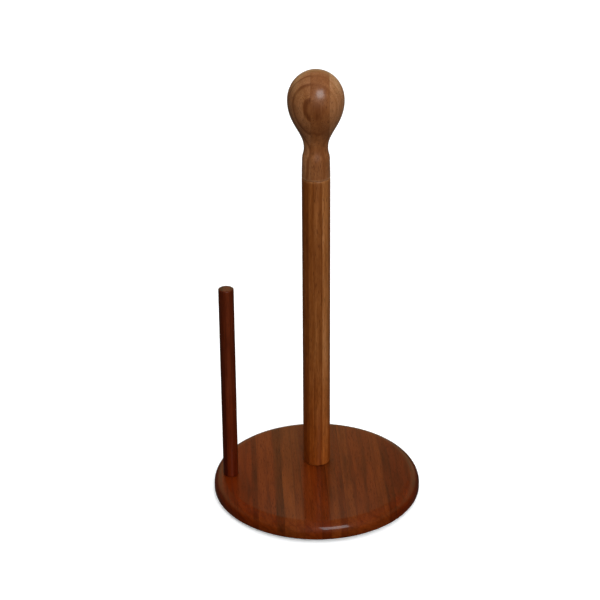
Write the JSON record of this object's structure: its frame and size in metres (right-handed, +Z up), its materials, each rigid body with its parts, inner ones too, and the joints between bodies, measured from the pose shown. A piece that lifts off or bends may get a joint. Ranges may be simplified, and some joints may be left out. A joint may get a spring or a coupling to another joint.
{
  "type": "paper towel holder",
  "caption": "Free-standing wooden paper towel holder: round board, upright post with an unscrewing turned knob, and a short tear rod beside it.",
  "frame": {"origin": "on the table, under the middle of the round board", "axes": "+Z up along the post, -Y towards the front of the holder, -X towards the tear rod"},
  "size_m": [0.16, 0.16, 0.3343],
  "materials": {
    "board_wood": "glossy lacquer over strips glued edge to edge",
    "post_wood": "satin lacquer, straight grain",
    "knob_wood": "satin lacquer over three glued layers",
    "rod_wood": "dark satin stain",
    "insert_brass": "turned",
    "fastener_steel": "zinc plated",
    "pad_rubber": "matt"
  },
  "bodies": {
    "frame": {"base_board": "board_wood", "post": "post_wood", "tear_rod": "rod_wood", "post_foot_insert": "insert_brass", "post_top_insert": "insert_brass", "post_bolt": "fastener_steel", "post_bolt_washer": "fastener_steel", "tear_rod_screw": "fastener_steel", "foot_pad_1": "pad_rubber", "foot_pad_2": "pad_rubber", "foot_pad_3": "pad_rubber", "foot_pad_4": "pad_rubber"},
    "knob_stud": {"knob_stud": "fastener_steel"},
    "knob": {"knob": "knob_wood"}
  },
  "joints": [
    {"name": "knob_rise", "type": "slide", "parent": "frame", "child": "knob_stud", "axis": [0, 0, 1], "range_m": [0, 0.0125]},
    {"name": "knob_turn", "type": "hinge", "parent": "knob_stud", "child": "knob", "pos_m": [0, 0.0165, 0.2534], "axis": [0, 0, 1], "range_deg": [0, 3600]}
  ],
  "couplings": [
    {"joint": "knob_rise", "follows": "knob_turn", "m_per_rad": 0.00019894}
  ]
}
